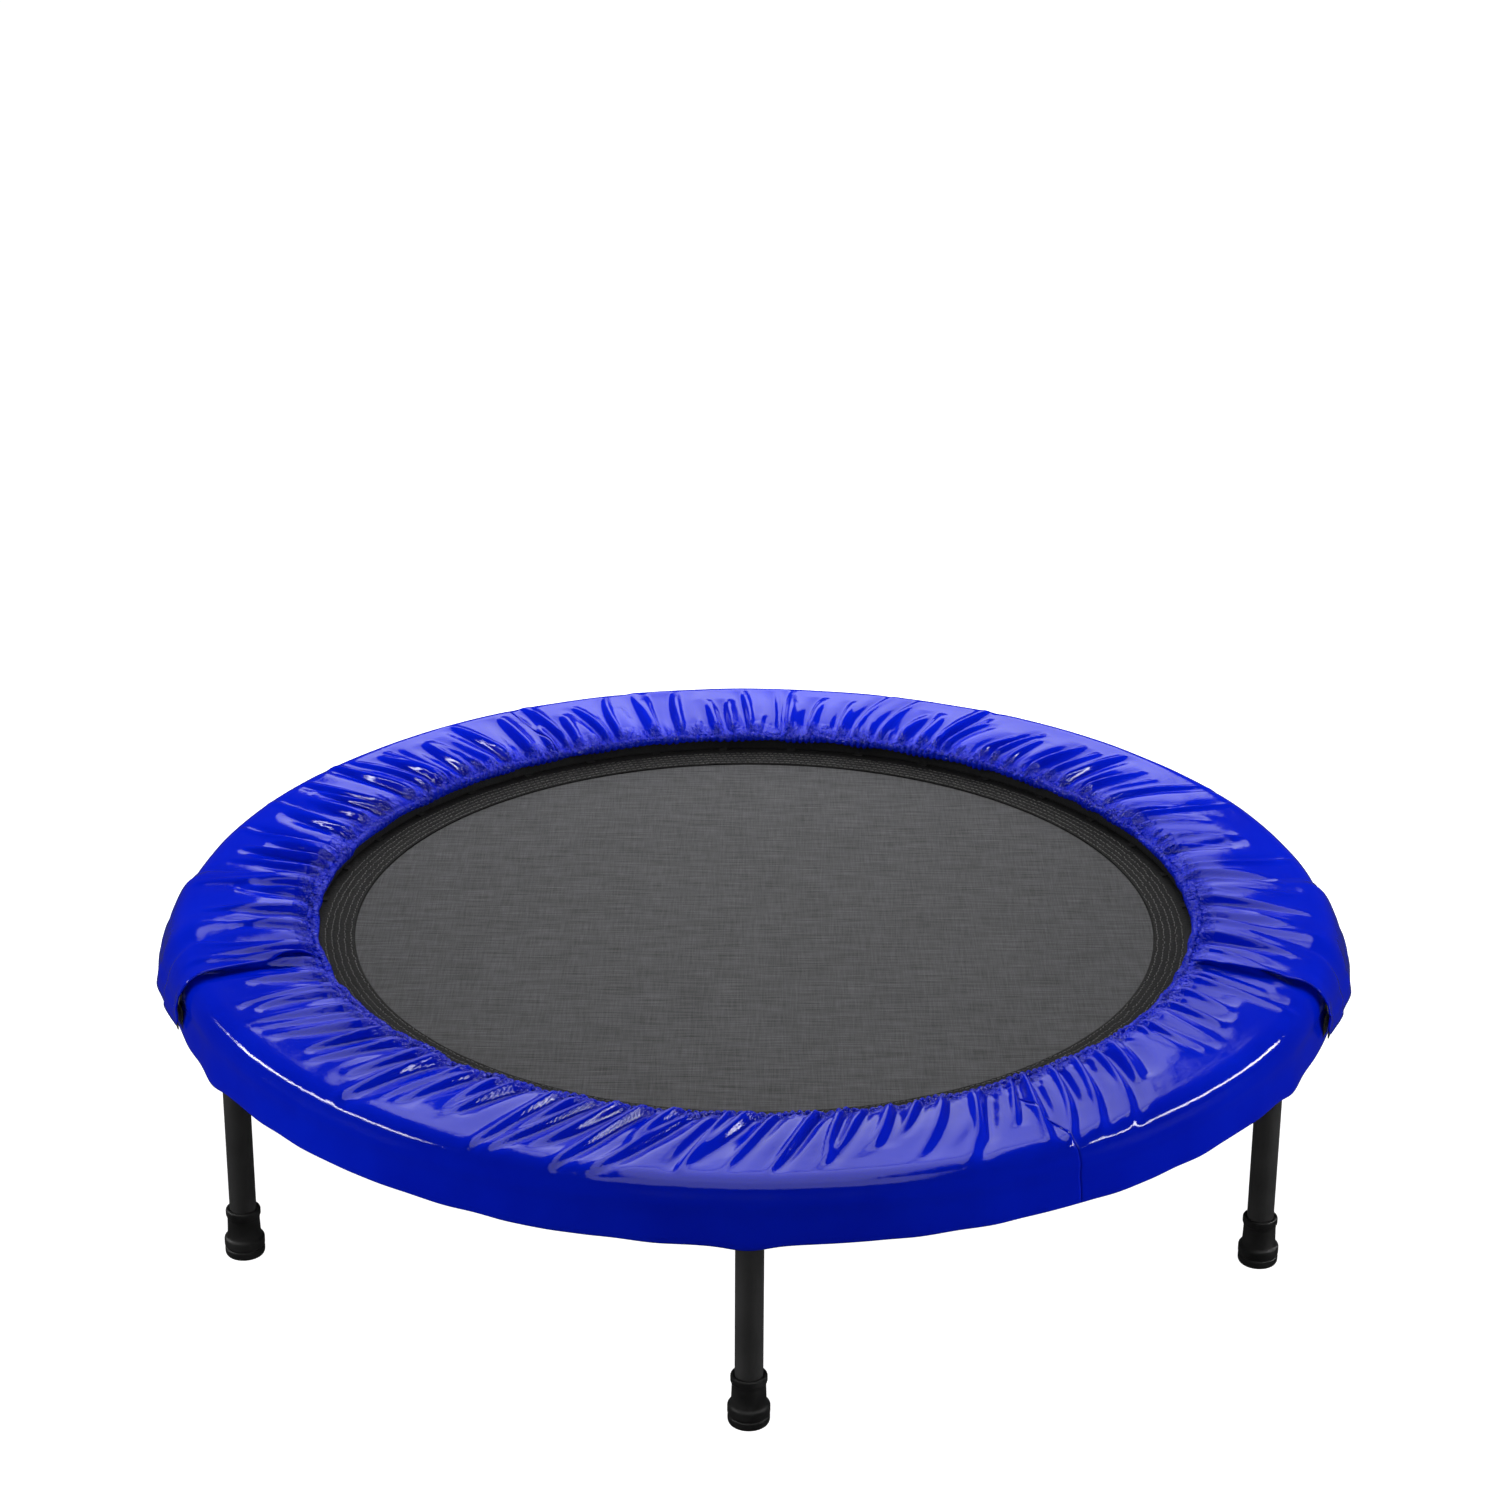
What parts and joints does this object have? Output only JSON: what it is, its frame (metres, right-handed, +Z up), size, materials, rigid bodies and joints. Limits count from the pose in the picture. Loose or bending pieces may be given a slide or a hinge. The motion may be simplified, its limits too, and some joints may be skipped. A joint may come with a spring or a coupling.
{
  "type": "folding mini trampoline",
  "caption": "Round mini trampoline with a sprung mat, a padded cover with gathered edges, screw-in legs with rubber feet and a frame that folds across the middle.",
  "frame": {"origin": "centre of the bounding box's base: on the floor, under the centre of the ring", "axes": "+Z up, square to the mat; X along the fold line through both hinge brackets; -Y is the front half, which stays still when the rear half folds"},
  "size_m": [1.0428, 1.0158, 0.2238],
  "materials": {
    "powder_coat": "satin black powder coat on steel",
    "zinc": "bright zinc plate",
    "mat": "dark grey woven polypropylene, slight sheen",
    "webbing": "black woven webbing",
    "vinyl": "glossy royal blue vinyl sheet",
    "foam": "white closed-cell foam",
    "elastic": "white elastic cord",
    "hook_tape": "black hook tape",
    "loop_tape": "black loop tape",
    "rubber": "matt black moulded rubber"
  },
  "bodies": {
    "front_frame": {"frame_tube_front": "powder_coat", "leg_mounts_front": "zinc", "cover_skin_front": "vinyl", "cover_foam_front": "foam", "inner_elastic_front": "elastic", "hem_elastic_front": "elastic", "springs_front": "zinc", "pivot_washers": "zinc", "hinge_channel_left": "powder_coat", "pivot_bolt_left": "zinc", "pivot_nut_left": "zinc", "cover_patch_left": "loop_tape", "hinge_channel_right": "powder_coat", "pivot_bolt_right": "zinc", "pivot_nut_right": "zinc", "cover_patch_right": "loop_tape"},
    "rear_frame": {"frame_tube_rear": "powder_coat", "leg_mounts_rear": "zinc", "cover_skin_rear": "vinyl", "cover_foam_rear": "foam", "inner_elastic_rear": "elastic", "hem_elastic_rear": "elastic", "hinge_yoke_left": "powder_coat", "hinge_yoke_right": "powder_coat"},
    "mat_front": {"mat_front": "mat", "mat_edge_webbing_front": "webbing", "wire_rings_front": "zinc", "ring_loops_front": "webbing"},
    "mat_rear": {"mat_rear": "mat", "mat_edge_webbing_rear": "webbing", "wire_rings_rear": "zinc", "ring_loops_rear": "webbing"},
    "rear_springs": {"springs_rear": "zinc"},
    "flap_left": {"flap_skin_left": "vinyl", "flap_lining_left": "foam", "flap_tab_left": "hook_tape"},
    "flap_right": {"flap_skin_right": "vinyl", "flap_lining_right": "foam", "flap_tab_right": "hook_tape"},
    "leg_front_left": {"leg_tube_front_left": "powder_coat", "leg_insert_front_left": "zinc", "foot_front_left": "rubber"},
    "leg_front": {"leg_tube_front": "powder_coat", "leg_insert_front": "zinc", "foot_front": "rubber"},
    "leg_front_right": {"leg_tube_front_right": "powder_coat", "leg_insert_front_right": "zinc", "foot_front_right": "rubber"},
    "leg_rear_right": {"leg_tube_rear_right": "powder_coat", "leg_insert_rear_right": "zinc", "foot_rear_right": "rubber"},
    "leg_rear": {"leg_tube_rear": "powder_coat", "leg_insert_rear": "zinc", "foot_rear": "rubber"},
    "leg_rear_left": {"leg_tube_rear_left": "powder_coat", "leg_insert_rear_left": "zinc", "foot_rear_left": "rubber"}
  },
  "joints": [
    {"name": "fold", "type": "hinge", "parent": "front_frame", "child": "rear_frame", "pos_m": [0, 0, 0.16], "axis": [-1, 0, 0], "range_deg": [0, 95]},
    {"name": "mat_bounce", "type": "slide", "parent": "front_frame", "child": "mat_front", "axis": [0, 0, 1], "range_m": [-0.06, 0], "stiffness_N_per_m": 12000, "deforming": ["springs_front", "springs_rear"]},
    {"name": "mat_fold", "type": "hinge", "parent": "mat_front", "child": "mat_rear", "pos_m": [0, 0, 0.16], "axis": [-1, 0, 0], "range_deg": [0, 95]},
    {"name": "springs_hold", "type": "slide", "parent": "mat_rear", "child": "rear_springs", "axis": [0, 0, 1], "range_m": [0, 0.06]},
    {"name": "flap_open_left", "type": "hinge", "parent": "rear_frame", "child": "flap_left", "pos_m": [-0.44829, 0.03922, 0.2239], "axis": [-0.9962, 0.0872, 0], "range_deg": [0, 150]},
    {"name": "flap_open_right", "type": "hinge", "parent": "rear_frame", "child": "flap_right", "pos_m": [0.44829, 0.03922, 0.2239], "axis": [-0.9962, -0.0872, 0], "range_deg": [0, 150]},
    {"name": "leg_unscrew_front_left", "type": "slide", "parent": "front_frame", "child": "leg_front_left", "axis": [0, 0, 1], "range_m": [-0.028, 0]},
    {"name": "leg_unscrew_front", "type": "slide", "parent": "front_frame", "child": "leg_front", "axis": [0, 0, 1], "range_m": [-0.028, 0]},
    {"name": "leg_unscrew_front_right", "type": "slide", "parent": "front_frame", "child": "leg_front_right", "axis": [0, 0, 1], "range_m": [-0.028, 0]},
    {"name": "leg_unscrew_rear_right", "type": "slide", "parent": "rear_frame", "child": "leg_rear_right", "axis": [0, 0, 1], "range_m": [-0.028, 0]},
    {"name": "leg_unscrew_rear", "type": "slide", "parent": "rear_frame", "child": "leg_rear", "axis": [0, 0, 1], "range_m": [-0.028, 0]},
    {"name": "leg_unscrew_rear_left", "type": "slide", "parent": "rear_frame", "child": "leg_rear_left", "axis": [0, 0, 1], "range_m": [-0.028, 0]}
  ],
  "couplings": [
    {"joint": "mat_fold", "follows": "fold", "ratio": 1},
    {"joint": "springs_hold", "follows": "mat_bounce", "ratio": -1}
  ]
}
